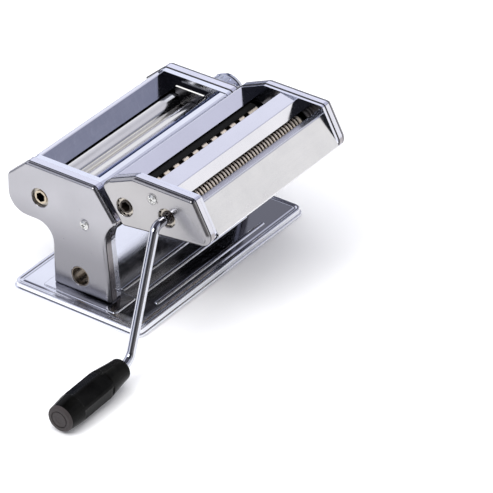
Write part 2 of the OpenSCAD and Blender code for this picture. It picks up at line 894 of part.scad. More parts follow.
module grip_end_cap() {
    r = grip_d/2;
    color("dimgray") on_grip_axis([
        [grip_end - 3, 0], [grip_end - 3, r - 1.6], [grip_end - 1.2, r - 1.7], [grip_end, r - 3],
        [grip_end, 9.6], [grip_end - 0.7, 9.2], [grip_end - 0.7, 8.6], [grip_end, 8.2], [grip_end, 0]
    ]);
}

base_plate();
rubber_feet();
base_screws();
left_side_cover();
right_side_cover();
left_side_frame();
right_side_frame();
rear_cover();
front_cover();
dough_guides();
tie_rods();
tie_rod_nuts();
cover_screws();
drive_roller_bushes();
rear_roller_scraper();
clamp_sleeves();
head_rails();
dial_plate();
drive_roller();
drive_roller_gear();
bearing_blocks();
front_roller_scraper();
front_roller();
front_roller_gear();
adjuster_shaft();
adjuster_cam();
knob_retaining_screw();
adjusting_knob();
index_pin();
knob_spring();
head_left_cover();
head_right_cover();
head_left_frame();
head_right_frame();
head_rear_plate();
head_centre_plate();
head_front_plate();
head_hooks();
head_tie_rods();
head_tie_rod_nuts();
head_screws();
cutter_bushes();
wide_combs();
fine_combs();
wide_drive_cutter();
wide_driven_cutter();
fine_drive_cutter();
fine_driven_cutter();
wide_drive_gear();
wide_driven_gear();
fine_drive_gear();
fine_driven_gear();
crank_rod();
grip_washer();
crank_grip();
grip_end_cap();
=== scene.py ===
import math

import bmesh
import bpy
from mathutils import Matrix, Vector


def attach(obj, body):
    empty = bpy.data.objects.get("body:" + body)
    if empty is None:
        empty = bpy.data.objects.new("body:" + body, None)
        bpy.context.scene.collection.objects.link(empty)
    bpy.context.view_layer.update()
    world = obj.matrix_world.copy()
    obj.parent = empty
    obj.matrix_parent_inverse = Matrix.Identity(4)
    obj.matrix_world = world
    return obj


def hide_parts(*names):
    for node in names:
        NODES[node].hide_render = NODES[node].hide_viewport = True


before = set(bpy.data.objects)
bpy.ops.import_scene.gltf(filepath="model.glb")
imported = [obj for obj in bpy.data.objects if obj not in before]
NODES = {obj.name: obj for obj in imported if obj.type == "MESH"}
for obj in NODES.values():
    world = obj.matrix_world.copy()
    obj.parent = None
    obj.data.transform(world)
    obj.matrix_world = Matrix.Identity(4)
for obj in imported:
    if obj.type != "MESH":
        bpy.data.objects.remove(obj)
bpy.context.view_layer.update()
MM = 0.001
LENS, SENSOR = 270.2, 36.0
CAMERA_AT = (-2.0734, -1.572, 1.694)
CAMERA_WAY = (0.68192, 0.48782, -0.545)


# ---------- camera ----------
cam_data = bpy.data.cameras.new("camera")
cam_data.lens = LENS
cam_data.sensor_width = SENSOR
cam_data.clip_start = 0.05
cam_data.clip_end = 40.0
cam = bpy.data.objects.new("camera", cam_data)
bpy.context.scene.collection.objects.link(cam)
cam.location = CAMERA_AT
cam.rotation_mode = "QUATERNION"
cam.rotation_quaternion = Vector(CAMERA_WAY).to_track_quat("-Z", "Y")
bpy.context.scene.camera = cam
bpy.context.scene.view_settings.view_transform = "Standard"


# ---------- node helpers ----------
class Graph:
    """Small helper that adds nodes to one tree and links them."""

    def __init__(self, tree):
        self.t = tree
        self.x = 0

    def add(self, kind, **settings):
        n = self.t.nodes.new(kind)
        self.x += 180
        n.location = (self.x, 0)
        for k, v in settings.items():
            setattr(n, k, v)
        return n

    def put(self, socket, value):
        if isinstance(value, bpy.types.NodeSocket):
            self.t.links.new(value, socket)
        elif isinstance(value, (tuple, list)) and len(value) == 3 and socket.type == "RGBA":
            socket.default_value = (*value, 1.0)
        else:
            socket.default_value = value

    def math(self, op, a, b=0.0, clamp=False):
        n = self.add("ShaderNodeMath", operation=op, use_clamp=clamp)
        self.put(n.inputs[0], a)
        self.put(n.inputs[1], b)
        return n.outputs[0]

    def mix(self, fac, a, b, blend="MIX"):
        n = self.add("ShaderNodeMix", data_type="RGBA", blend_type=blend)
        self.put(n.inputs[0], fac)
        self.put(n.inputs[6], a)
        self.put(n.inputs[7], b)
        return n.outputs[2]

    def ramp(self, fac, stops):
        n = self.add("ShaderNodeValToRGB")
        el = n.color_ramp.elements
        while len(el) < len(stops):
            el.new(0.5)
        for e, (p, c) in zip(el, stops):
            e.position = p
            e.color = (c, c, c, 1) if isinstance(c, (int, float)) else (*c, 1)
        self.put(n.inputs[0], fac)
        return n.outputs[0]

    def range(self, value, a, b, c=0.0, d=1.0, smooth=False):
        n = self.add("ShaderNodeMapRange", clamp=True)
        if smooth:
            n.interpolation_type = "SMOOTHSTEP"
        for i, v in enumerate((value, a, b, c, d)):
            self.put(n.inputs[i], v)
        return n.outputs[0]

    def noise(self, vector, scale, detail=3.0, rough=0.55):
        n = self.add("ShaderNodeTexNoise")
        self.put(n.inputs["Vector"], vector)
        n.inputs["Scale"].default_value = scale
        n.inputs["Detail"].default_value = detail
        n.inputs["Roughness"].default_value = rough
        return n.outputs["Fac"]

    def place(self):
        return self.add("ShaderNodeTexCoord").outputs["Object"]

    def stretched(self, vector, scale):
        n = self.add("ShaderNodeMapping")
        self.put(n.inputs["Vector"], vector)
        n.inputs["Scale"].default_value = scale
        return n.outputs[0]

    def xyz(self, vector):
        n = self.add("ShaderNodeSeparateXYZ")
        self.put(n.inputs[0], vector)
        return n.outputs

    def bump(self, shader, height, distance, strength):
        n = self.add("ShaderNodeBump")
        n.inputs["Distance"].default_value = distance
        n.inputs["Strength"].default_value = strength
        self.put(n.inputs["Height"], height)
        self.put(shader.inputs["Normal"], n.outputs[0])


def material(name):
    m = bpy.data.materials.new(name)
    m.use_nodes = True
    g = Graph(m.node_tree)
    bsdf = m.node_tree.nodes["Principled BSDF"]
    return m, g, bsdf


def metal(name, colour, rough, grain, grain_bump, wave, spread, tone, metallic=1.0,
          tint=None, walls=None, hollow=None, grooves=None, lids=None, along_y=None, tip=None, shade=None):
    """Metal with rolling grain, fine scratches, faint smudges and a slightly uneven tone.

    tint = (axis, start, end, colour) shifts the colour along an axis.
    walls = colour of painted shade on the faces that look along X.
    hollow = (y, z, colour) of painted shade on the faces that look towards that axis.
    grooves = (y, z, r, colour) of painted shade on what lies nearer to that axis than r.
    lids = colour of the guides' top edges: a painted highlight, on faces that are also made not metallic.
    along_y = stops of a painted reflection, a colour multiplied in by how far a face looks towards +Y.
    tip = (x, colour) of painted shade on what lies beyond x.
    shade = (y from, y to, x from, colour) of painted shade and a painted reflection on the flat top between
    them.
    """
    m, g, b = material(name)
    at = g.place()
    b.inputs["Metallic"].default_value = metallic
    cloud = g.noise(at, 22, 4)
    smudge = g.noise(at, 70, 5, 0.65)
    grain_n = g.noise(g.stretched(at, grain), 1.0, 3)
    light = tuple(min(1, c * (1 + tone)) for c in colour)
    deep = tuple(c * (1 - tone) for c in colour)
    col = g.mix(g.range(cloud, 0.3, 0.7), deep, light)
    col = g.mix(g.range(grain_n, 0.25, 0.75, 0, 0.12), col, deep)
    xyz = g.xyz(at)
    if tint:
        axis, start, end, other = tint
        col = g.mix(g.range(xyz[axis], start, end, 0, 1, True), col, other)
    if walls or hollow or lids or along_y or shade:
        normal = g.xyz(g.add("ShaderNodeNewGeometry").outputs["Normal"])
    # Faces that look along X are painted dark: painted shade.
    if walls:
        deep_wall = tuple(c * 0.8 for c in walls)
        wall = g.mix(g.range(cloud, 0.3, 0.7), walls, deep_wall)
        col = g.mix(g.range(g.math("ABSOLUTE", normal[0]), 0.5, 0.8), col, wall)
    # Colour multiplied in by the way a face looks along Y: a painted reflection.
    if along_y:
        col = g.mix(1.0, col, g.ramp(g.range(normal[1], -1, 1), along_y), "MULTIPLY")
    # What lies beyond x is painted dark: painted shade.
    if tip:
        col = g.mix(g.range(xyz[0], tip[0], tip[0] + 0.0004), col, tip[1])
    # The flat top between them is painted dark: painted shade and a painted reflection.
    if shade:
        where = g.math("MULTIPLY", g.range(xyz[1], shade[0], shade[1], 0, 1, True),
                       g.range(xyz[0], shade[2], shade[2] + 0.004))
        col = g.mix(g.math("MULTIPLY", where, g.range(normal[2], 0.93, 0.985)), col, shade[3])
    # The guides' top edges are painted light and made not metallic: a painted highlight.
    if lids:
        top = g.math("MULTIPLY", g.range(normal[2], 0.6, 0.9),
                     g.range(g.math("ABSOLUTE", xyz[0]), 0.0804, 0.0801))
        col = g.mix(top, col, lids)
        g.put(b.inputs["Metallic"], g.math("SUBTRACT", 1.0, top))
    # Faces that look towards the axis are painted dark: painted shade.
    if hollow:
        away = g.math("ADD", g.math("MULTIPLY", normal[1], g.math("SUBTRACT", xyz[1], hollow[0])),
                      g.math("MULTIPLY", normal[2], g.math("SUBTRACT", xyz[2], hollow[1])))
        col = g.mix(g.range(away, 0.0, 0.0005, 1.0, 0.0), col, hollow[2])
    # What lies nearer to the axis than r is painted dark: painted shade.
    if grooves:
        dy = g.math("SUBTRACT", xyz[1], grooves[0])
        dz = g.math("SUBTRACT", xyz[2], grooves[1])
        far = g.math("SQRT", g.math("ADD", g.math("MULTIPLY", dy, dy), g.math("MULTIPLY", dz, dz)))
        col = g.mix(g.range(far, grooves[2] - 0.0006, grooves[2], 1.0, 0.0), col, grooves[3])
    g.put(b.inputs["Base Color"], col)
    g.put(b.inputs["Roughness"], g.math("ADD", g.range(smudge, 0.35, 0.75, rough, rough + spread),
                                        g.range(grain_n, 0.3, 0.7, 0.0, spread * 0.6)))
    height = g.math("MULTIPLY", grain_n, grain_bump)
    if wave:
        height = g.math("ADD", height, g.math("MULTIPLY", g.noise(at, 14, 1, 0.4), wave))
    scratch = g.add("ShaderNodeTexVoronoi", feature="DISTANCE_TO_EDGE")
    g.put(scratch.inputs["Vector"], g.stretched(at, (60, 18, 35)))
    scratch.inputs["Scale"].default_value = 3.0
    height = g.math("ADD", height, g.range(scratch.outputs["Distance"], 0.0, 0.01, -grain_bump, 0))
    g.bump(b, height, 0.0006, 0.25)
    return m


def plastic(name, colour, rough, grit, speck=0.05, specular=None):
    """Moulded plastic or rubber with a fine grit and a slightly uneven tone and gloss."""
    m, g, b = material(name)
    at = g.place()
    fine = g.noise(at, 1680, 3)
    wide = g.noise(at, 52.5, 4)
    light = tuple(min(1, c * (1 + speck) + speck * 0.02) for c in colour)
    g.put(b.inputs["Base Color"], g.mix(g.range(wide, 0.3, 0.7), colour, light))
    g.put(b.inputs["Roughness"], g.range(wide, 0.3, 0.75, rough, min(1, rough + 0.12)))
    if specular is not None:
        b.inputs["Specular IOR Level"].default_value = specular
    g.bump(b, fine, 0.0004, grit)
    return m


# ---------- stations in millimetres, the same as the CAD's ----------
DRIVE, FRONT = (46.9, 85.6), (21.5, 85.6)
WIDE, WIDE_DRIVEN = (-37.9, 106.0), (-56.3, 106.0)
FINE, FINE_DRIVEN = (-79.8, 111.2), (-98.2, 111.2)
CLAMP, SCREW, HEAD_SCREW = (7.1, 24.2), (0.9, 76.6), (-66.0, 124.1)


# ---------- materials ----------
BRONZE = (0.50, 0.43, 0.33)
BLACK = (0.012, 0.012, 0.014)
NAVY = (0.16, 0.22, 0.42)
OLIVE = (0.46, 0.43, 0.40)
CAP_GRAIN, FINE_GRAIN = (60, 500, 60), (60, 60, 60)
ROLLER_ENDS = (0, -0.086, -0.089, BRONZE)


def axis_m(station):
    return tuple(v * MM for v in station)


# The cutters' groove bottoms, nearer the axis than 9.4 mm, are painted near black: painted shade.
def cutter_alloy(name, station):
    return metal(name, (0.86, 0.76, 0.65), 0.32, (500, 60, 60), 0.03, 0.0, 0.08, 0.08, metallic=0.45,
                 tint=ROLLER_ENDS, grooves=(*axis_m(station), 0.0094, (0.03, 0.022, 0.018)))


# The side covers are painted darker towards their bottom, and the cutter head's covers darker towards the
# front (-Y): painted shade.
satin = metal("satin_cap_steel", (0.41, 0.405, 0.425), 0.19, CAP_GRAIN, 0.03, 0.2, 0.07, 0.07,
              tint=(2, 0.088, 0.040, (0.245, 0.242, 0.26)))
head_satin = metal("satin_cutter_cap_steel", (0.41, 0.40, 0.40), 0.17, CAP_GRAIN, 0.03, 0.2, 0.07, 0.07,
                   tint=(1, -0.06, -0.115, (0.31, 0.305, 0.315)))
# The rims' faces that look straight towards -Y are multiplied by olive: a painted reflection.
rim_steel = metal("rim_steel", (0.80, 0.80, 0.88), 0.13, (400, 40, 40), 0.03, 0.15, 0.06, 0.05,
                  along_y=[(0.0, OLIVE), (0.02, OLIVE), (0.04, 1.0), (1.0, 1.0)])
mirror = metal("mirror_sheet_steel", (0.84, 0.84, 0.89), 0.07, (12, 700, 700), 0.03, 0.25, 0.05, 0.03)
# The sheets' faces that look towards the roller next to them are painted black: painted shade.
rear_sheet = metal("rear_sheet_steel", (0.84, 0.84, 0.89), 0.07, (12, 700, 700), 0.03, 0.25, 0.05, 0.03,
                   hollow=(*axis_m(DRIVE), BLACK))
front_sheet = metal("front_sheet_steel", (0.84, 0.85, 0.90), 0.06, (12, 700, 700), 0.03, 0.15, 0.04, 0.03,
                    hollow=(*axis_m(FRONT), BLACK),
                    # A navy band by how far a face looks towards +Y: a painted reflection.
                    along_y=[(0.0, 1.0), (0.645, 1.0), (0.665, NAVY), (0.715, NAVY),
                             (0.735, 1.0), (1.0, 1.0)])
plate = metal("front_plate_steel", (0.80, 0.795, 0.805), 0.20, (12, 800, 800), 0.03, 0.1, 0.06, 0.03)
# The base's flat top under the cutter head is painted dark: painted shade and a painted reflection of the
# dark parts above it.
base_steel = metal("base_steel", (0.84, 0.85, 0.90), 0.09, (12, 600, 600), 0.03, 0.35, 0.06, 0.04,
                   shade=(0.022, -0.004, -0.106, (0.13, 0.13, 0.15)))
# The frames' faces that look along X are painted dark: painted shade.
inner = metal("side_frame_steel", (0.86, 0.88, 0.96), 0.12, (300, 60, 60), 0.03, 0.2, 0.06, 0.04,
              walls=(0.13, 0.135, 0.16))
head_inner = metal("cutter_frame_steel", (0.80, 0.81, 0.90), 0.12, (300, 60, 60), 0.03, 0.2, 0.06, 0.04,
                   walls=(0.16, 0.17, 0.21))
# The guides are near black, painted shade, and their top edges painted light, a painted highlight.
guide = metal("guide_steel", (0.025, 0.025, 0.03), 0.2, (60, 300, 60), 0.03, 0.2, 0.06, 0.08,
              lids=(0.95, 0.94, 0.90))
# The rollers' ends beyond x = 78.2 mm are painted near black: painted shade.
roller_mat = metal("ground_roller_alloy", (0.87, 0.85, 0.79), 0.10, (20, 900, 900), 0.02, 0.0, 0.05, 0.03,
                   tint=ROLLER_ENDS, tip=(0.0782, (0.03, 0.03, 0.03)))
chrome = metal("chrome_plate", (0.87, 0.88, 0.91), 0.045, FINE_GRAIN, 0.01, 0.05, 0.03, 0.02)
knob_chrome = metal("knob_chrome", (0.50, 0.52, 0.60), 0.09, FINE_GRAIN, 0.01, 0.05, 0.04, 0.02)
# The crank's chrome is a darker copy of chrome_plate: painted shade.
rod_chrome = metal("crank_chrome", (0.62, 0.63, 0.68), 0.06, FINE_GRAIN, 0.01, 0.05, 0.04, 0.02)
zinc = metal("zinc_steel", (0.66, 0.66, 0.67), 0.28, (200, 60, 60), 0.04, 0.1, 0.12, 0.08)
gear_mat = metal("gear_steel", (0.5, 0.46, 0.40), 0.32, (300, 90, 90), 0.05, 0.0, 0.12, 0.1)
sleeve_mat = metal("sleeve_steel", (0.20, 0.17, 0.14), 0.22, (400, 60, 60), 0.03, 0.0, 0.10, 0.1)
screw_mat = metal("screw_steel", (0.66, 0.66, 0.64), 0.24, (300, 90, 90), 0.03, 0.0, 0.10, 0.08)
spring_mat = metal("spring_wire", (0.55, 0.55, 0.57), 0.22, (90, 90, 90), 0.02, 0.0, 0.08, 0.05)
comb_mat = plastic("black_comb_plastic", (0.006, 0.006, 0.006), 0.6, 0.25, specular=0.1)
scraper_mat = plastic("dark_scraper_plastic", (0.05, 0.05, 0.055), 0.45, 0.2)
bush_mat = plastic("grey_bush_plastic", (0.045, 0.044, 0.042), 0.4, 0.15)
rubber = plastic("foot_rubber", (0.03, 0.03, 0.03), 0.75, 0.5, 0.2)
grip_mat = plastic("grip_black_plastic", (0.0012, 0.0012, 0.001), 0.16, 0.05, 0.3, specular=0.05)
# Near-black plastic on the covers' turned-in edges and in the groove of their fine bead: painted shade in the
# gap to the frame and a painted reflection in the groove.
painted_dark_lines = plastic("painted_dark_lines_plastic", (0.012, 0.012, 0.014), 0.5, 0.2)
cap_mat = plastic("grip_cap_plastic", (0.042, 0.036, 0.036), 0.5, 0.25, 0.2, specular=0.2)
ink = plastic("number_ink", (0.02, 0.02, 0.025), 0.5, 0.2)

LOOKS = [
    (rear_sheet, ["rear_cover"]),
    (front_sheet, ["front_cover"]),
    (mirror, ["head_rear_plate", "head_centre_plate", "dial_plate"]),
    (plate, ["head_front_plate"]),
    (inner, ["left_side_frame", "right_side_frame"]),
    (head_inner, ["head_left_frame", "head_right_frame"]),
    (guide, ["dough_guides"]),
    (zinc, ["head_rails", "head_hooks", "tie_rods", "tie_rod_nuts", "base_screws", "head_tie_rods",
            "head_tie_rod_nuts", "adjuster_shaft", "grip_washer", "index_pin"]),
    (sleeve_mat, ["clamp_sleeves"]),
    (screw_mat, ["cover_screws", "head_screws"]),
    (knob_chrome, ["adjusting_knob"]),
    (rod_chrome, ["crank_rod"]),
    (chrome, ["knob_retaining_screw"]),
    (rubber, ["rubber_feet"]),
    (bush_mat, ["drive_roller_bushes", "cutter_bushes", "bearing_blocks"]),
    (scraper_mat, ["rear_roller_scraper", "front_roller_scraper"]),
    (comb_mat, ["wide_combs", "fine_combs"]),
    (roller_mat, ["drive_roller", "front_roller"]),
    (cutter_alloy("wide_drive_alloy", WIDE), ["wide_drive_cutter"]),
    (cutter_alloy("wide_driven_alloy", WIDE_DRIVEN), ["wide_driven_cutter"]),
    (cutter_alloy("fine_drive_alloy", FINE), ["fine_drive_cutter"]),
    (cutter_alloy("fine_driven_alloy", FINE_DRIVEN), ["fine_driven_cutter"]),
    (spring_mat, ["knob_spring"]),
    (gear_mat, ["drive_roller_gear", "front_roller_gear", "wide_drive_gear", "wide_driven_gear",
                "fine_drive_gear", "fine_driven_gear", "adjuster_cam"]),
]
for look, nodes in LOOKS:
    for node in nodes:
        ob = NODES[node]
        ob = bpy.data.objects[ob] if isinstance(ob, str) else ob
        if not ob.material_slots:
            ob.data.materials.append(look)
        for s in ob.material_slots:
            s.material = look


# ---------- mesh helpers (all drawn in millimetres) ----------
def make(name, verts, faces, body, look, smooth=35.0, instead=(), parts=(), pose=None):
    """One piece on its body.

    instead = the nodes that it takes the place of.
    parts = [(first face, end, material)] of the faces in another material than look.
    pose = matrix that puts the drawn piece in its place.
    """
    me = bpy.data.meshes.new(name)
    if pose is not None:
        verts = [pose @ Vector(v) for v in verts]
    me.from_pydata([tuple(c * MM for c in v) for v in verts], [], faces)
    me.materials.append(look)
    for k, (a, b, other) in enumerate(parts):
        me.materials.append(other)
        for f in me.polygons[a:b]:
            f.material_index = k + 1
    me.validate()
    bm = bmesh.new()
    bm.from_mesh(me)
    bmesh.ops.remove_doubles(bm, verts=bm.verts, dist=1e-7)
    bmesh.ops.recalc_face_normals(bm, faces=bm.faces)
    bm.to_mesh(me)
    bm.free()
    ob = bpy.data.objects.new(name, me)
    bpy.context.scene.collection.objects.link(ob)
    me.shade_smooth()
    me.set_sharp_from_angle(angle=math.radians(smooth))
    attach(ob, body)
    if instead:
        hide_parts(*instead)
    return ob


def backwards(items):
    return list(reversed(items))


def arc_corner(a, p, b, r, n):
    """Arc of radius r and n chords that rounds corner p between a and b."""
    u, v = (a - p).normalized(), (b - p).normalized()
    half = math.acos(max(-1, min(1, u.dot(v)))) / 2
    c = p + (u + v).normalized() * (r / math.sin(half))
    s = p + u * (r / math.tan(half)) - c
    e = p + v * (r / math.tan(half)) - c
    a0 = math.atan2(s.y, s.x)
    turn = (math.atan2(e.y, e.x) - a0 + 3 * math.pi) % (2 * math.pi) - math.pi
    return [c + r * Vector((math.cos(a0 + turn * i / n), math.sin(a0 + turn * i / n))) for i in range(n + 1)]


def outline(pts, t=0.0):
    """Rounded closed outline of [y, z, radius] corners, made smaller by t."""
    out = []
    k = len(pts)
    moved = []
    for i in range(k):
        p = Vector(pts[i][:2])
        a, b = Vector(pts[i - 1][:2]), Vector(pts[(i + 1) % k][:2])
        d1, d2 = (p - a).normalized(), (b - p).normalized()
        n1, n2 = Vector((-d1.y, d1.x)), Vector((-d2.y, d2.x))
        q = p + (n1 + n2) * (t / (1 + n1.dot(n2)))
        convex = d1.x * d2.y - d1.y * d2.x > 0
        moved.append((q, max(0.4, pts[i][2] - t if convex else pts[i][2] + t)))
    for i in range(k):
        q, r = moved[i]
        out += arc_corner(moved[i - 1][0], q, moved[(i + 1) % k][0], r, 8)
    return out


def bridge(faces, loops):
    """Quads between each closed loop and the next."""
    for a, b in zip(loops, loops[1:]):
        for i in range(len(a)):
            j = (i + 1) % len(a)
            faces.append((a[i], a[j], b[j], b[i]))


def loop(verts, pts3):
    """Adds the points and gives their indices."""
    start = len(verts)
    verts.extend(pts3)
    return list(range(start, start + len(pts3)))


def fill(verts, rings):
    """Triangles between an outer ring and the rings of its holes, all in one plane."""
    bm = bmesh.new()
    edges = []
    index = {}
    for ring in rings:
        vs = [bm.verts.new(verts[i]) for i in ring]
        index.update(zip(vs, ring))
        edges += [bm.edges.new((vs[i], vs[(i + 1) % len(vs)])) for i in range(len(vs))]
    bmesh.ops.triangle_fill(bm, use_beauty=True, use_dissolve=False, edges=edges)
    tris = [tuple(index[v] for v in f.verts) for f in bm.faces]
    bm.free()
    return tris


def circle(c, r, n):
    turns = [2 * math.pi * i / n for i in range(n)]
    return [(c[0] + r * math.cos(a), c[1] + r * math.sin(a)) for a in turns]


def ring_at(verts, x, c, r, n):
    """Circle about the X axis through c = (y, z)."""
    return loop(verts, [(x, y, z) for y, z in circle(c, r, n)])


def even_shading(ob, weight):
    mod = ob.modifiers.new("even_shading", "WEIGHTED_NORMAL")
    mod.keep_sharp = True
    mod.weight = weight


COVER_T = 1.0
HOLE_LIP = 0.8
HOLE_N = 40


def cap_cover(name, node, pts, x_rim, x_face, side, holes, body, look, rr):
    """Pressed side cover: an edge rolled to radius rr, a folded rim with a fine bead, and lipped holes.
    holes = [(centre, radius, depth)]."""
    verts, faces = [], []
    depth_in = COVER_T + 0.1

    def ring(x, inset):
        return loop(verts, [(side * x, p.x, p.y) for p in outline(pts, inset)])

    edge = [ring(x_rim, 1.0), ring(x_rim + 0.15, 0.75), ring(x_rim + 0.55, 0.15), ring(x_rim + 0.8, 0.0)]
    rim = [edge[-1], ring(x_face - rr - 0.95, 0.0)]
    line = [rim[-1], ring(x_face - rr - 0.8, 0.45), ring(x_face - rr - 0.3, 0.5),
            ring(x_face - rr - 0.05, 0.12)]
    loops = [line[-1]]
    for a in range(0, 91, 15):
        s, c = math.sin(math.radians(a)), math.cos(math.radians(a))
        loops.append(ring(x_face - rr + rr * s, 0.12 + (rr - 0.12) * (1 - c)))
    # The turned-in edge against the frame is near black: painted shade in the gap between cover and frame.
    bridge(faces, edge)
    parts = [(0, len(faces), painted_dark_lines)]
    bridge(faces, rim)
    parts.append((parts[-1][1], len(faces), rim_steel))
    # The groove of the fine bead is near black: a painted reflection.
    bridge(faces, line)
    parts.append((parts[-1][1], len(faces), painted_dark_lines))
    bridge(faces, loops)
    lips = []
    for c, r, depth in holes:
        rings = []
        for a in range(0, 91, 22):
            q = math.radians(a)
            x = x_face - HOLE_LIP + HOLE_LIP * math.cos(q)
            rings.append(ring_at(verts, side * x, c, r + HOLE_LIP - HOLE_LIP * math.sin(q), HOLE_N))
        rings.append(ring_at(verts, side * (x_face - depth), c, r, HOLE_N))
        bridge(faces, rings)
        lips.append(rings[0])
    faces += fill(verts, [loops[-1]] + lips)
    inside = [edge[0], ring(x_rim + 1.0, depth_in), ring(x_face - rr, depth_in),
              ring(x_face - depth_in, rr + 0.2)]
    bridge(faces, inside)
    back = [ring_at(verts, side * (x_face - depth_in), c, r, HOLE_N) for c, r, depth in holes]
    faces += fill(verts, [inside[-1]] + back)
    even_shading(make(name, verts, faces, body, look, 40, (node,), parts), 80)


def lathe(name, at, profile, body, look, n, instead=(), smooth=35.0, pose=None):
    """Turned piece about an X axis through at = (y, z), from [x, r] points."""
    verts, faces = [], []
    loops = [ring_at(verts, x, at, r, n) for x, r in profile]
    bridge(faces, loops)
    faces += [tuple(loops[0]), tuple(loops[-1])]
    make(name, verts, faces, body, look, smooth, instead, pose=pose)


# ---------- side covers ----------
BODY_RIM, BODY_FACE, BODY_ROLL = 89.2, 100, 3.0
HEAD_RIM, HEAD_FACE, HEAD_ROLL = 86.8, 96.7, 3.6
BODY = [(-23.3, 8, 1.5), (35, 8, 1.5), (35, 62.5, 16), (81, 62.5, 19), (81, 97, 5), (60, 115.5, 6),
        (-9.3, 115.7, 4.5), (-30.2, 86.9, 3.5), (-17.3, 72, 30)]
HEAD = [(-125.8, 97.8, 9), (-34.5, 86.5, 4), (-13.5, 118.5, 5), (-22, 126, 5), (-46, 136.3, 8),
        (-105.2, 136.3, 4)]

CLAMP_HOLE, SCREW_HOLE, HEAD_SCREW_HOLE = (CLAMP, 8.9, 1.2), (SCREW, 2.6, 1.2), (HEAD_SCREW, 2.6, 1.2)

cap_cover("side_cover_left", "left_side_cover", BODY, BODY_RIM, BODY_FACE, -1,
          [(DRIVE, 8.5, 2.2), CLAMP_HOLE, SCREW_HOLE], "machine_body", satin, BODY_ROLL)
cap_cover("side_cover_right", "right_side_cover", BODY, BODY_RIM, BODY_FACE, 1,
          [(FRONT, 6.0, 1.2), CLAMP_HOLE, SCREW_HOLE], "machine_body", satin, BODY_ROLL)
cap_cover("cutter_cover_left", "head_left_cover", HEAD, HEAD_RIM, HEAD_FACE, -1,
          [(WIDE, 8.3, 2.2), (FINE, 8.3, 2.2), HEAD_SCREW_HOLE], "cutter_head", head_satin, HEAD_ROLL)
cap_cover("cutter_cover_right", "head_right_cover", HEAD, HEAD_RIM, HEAD_FACE, 1,
          [HEAD_SCREW_HOLE], "cutter_head", head_satin, HEAD_ROLL)

# Pressed rings round the cover screws: [height over the cover, radius]
SCREW_RING = [(-0.2, 4.35), (0.1, 4.4), (0.28, 4.7), (0.3, 4.9), (0.2, 5.3), (0.05, 5.6), (-0.2, 5.7)]
for tag, at, x, body, look in (("body", SCREW, BODY_FACE, "machine_body", satin),
                               ("head", HEAD_SCREW, HEAD_FACE, "cutter_head", head_satin)):
    for side, word in ((-1, "left"), (1, "right")):
        rows = [(side * (x + up), r) for up, r in SCREW_RING]
        lathe("screw_ring_%s_%s" % (tag, word), at, rows, body, look, 48)


# ---------- folded sheets ----------
def path_points(path, t):
    """Open path of [y, z, radius] corners shifted to its left by t, with rounded corners."""
    k = len(path)
    moved = []
    for i in range(k):
        p = Vector(path[i][:2])
        d1 = (p - Vector(path[i - 1][:2])).normalized() if i else (Vector(path[1][:2]) - p).normalized()
        d2 = (Vector(path[i + 1][:2]) - p).normalized() if i < k - 1 else d1
        n1, n2 = Vector((-d1.y, d1.x)), Vector((-d2.y, d2.x))
        left = d1.x * d2.y - d1.y * d2.x > 0
        moved.append((p + (n1 + n2) * (t / (1 + n1.dot(n2))), path[i][2] - t if left else path[i][2] + t))
    out = [moved[0][0]]
    for i in range(1, k - 1):
        q, r = moved[i]
        out += arc_corner(moved[i - 1][0], q, moved[i + 1][0], max(0.3, r), 28 if r > 15 else 9)
    return out + [moved[-1][0]]


def folded(name, node, path, half, t, body, look):
    """Sheet of thickness t bent along a path, 2 * half wide, whose side edges are eased."""
    verts, faces = [], []
    reach = path_points(path, 0.0)
    section = reach + backwards(path_points(path, t))
    centre = [(a + b) / 2 for a, b in zip(section, backwards(section))]
    loops = []
    for x, pull in ((-half, 0.24), (-half + 0.12, 0.0), (half - 0.12, 0.0), (half, 0.24)):
        loops.append(loop(verts, [(x, p.x + (c.x - p.x) * pull, p.y + (c.y - p.y) * pull)
                                  for p, c in zip(section, centre)]))
    bridge(faces, loops)
    n = len(reach)
    for ring in (loops[0], loops[-1]):
        for i in range(n - 1):
            faces.append((ring[i], ring[i + 1], ring[2 * n - 2 - i], ring[2 * n - 1 - i]))
    even_shading(make(name, verts, faces, body, look, 40, (node,)), 70)


REAR = [(48.4, 99.6, 0), (60.2, 111.4, 1.5), (63.6, 111.4, 2), (79.2, 97.4, 4), (79.2, 81, 14), (69, 66.5, 0)]
CHUTE = [(16.6, 100.9, 0), (7.5, 110.5, 40), (-2.5, 114.3, 2), (-8.6, 114.3, 3), (-27.6, 87.6, 3),
         (-16.6, 72.5, 8), (-13, 66, 0)]
REAR_PLATE = [(-30.4, 95.1, 0), (-14.8, 117, 3), (-22.8, 126.2, 1.5), (-35, 118.7, 0)]
CENTRE_PLATE = [(-53, 119.5, 0), (-63.3, 134.9, 1.2), (-79, 133.2, 1.2), (-85.4, 125, 0)]
FRONT_PLATE = [(-91, 120.5, 0), (-94.6, 124, 1), (-104.4, 128, 1.5), (-122.8, 103.6, 1.5), (-120.6, 101.4, 0)]

folded("rear_sheet", "rear_cover", backwards(REAR), 83.5, 1.0, "machine_body", rear_sheet)
folded("front_sheet", "front_cover", CHUTE, 83.5, 1.0, "machine_body", front_sheet)
for word, path, look in (("rear", REAR_PLATE, mirror), ("centre", CENTRE_PLATE, mirror),
                         ("front", FRONT_PLATE, plate)):
    folded("cutter_%s_plate" % word, "head_%s_plate" % word, path, 84, 0.9, "cutter_head", look)

# ---------- base ----------
BASE_X, BASE_Y, BASE_R = 118, 66.5, 9
BASE_TOP = 7.0
RIB_X, RIB_HALF, RIB_H = 76, 2.2, 0.95


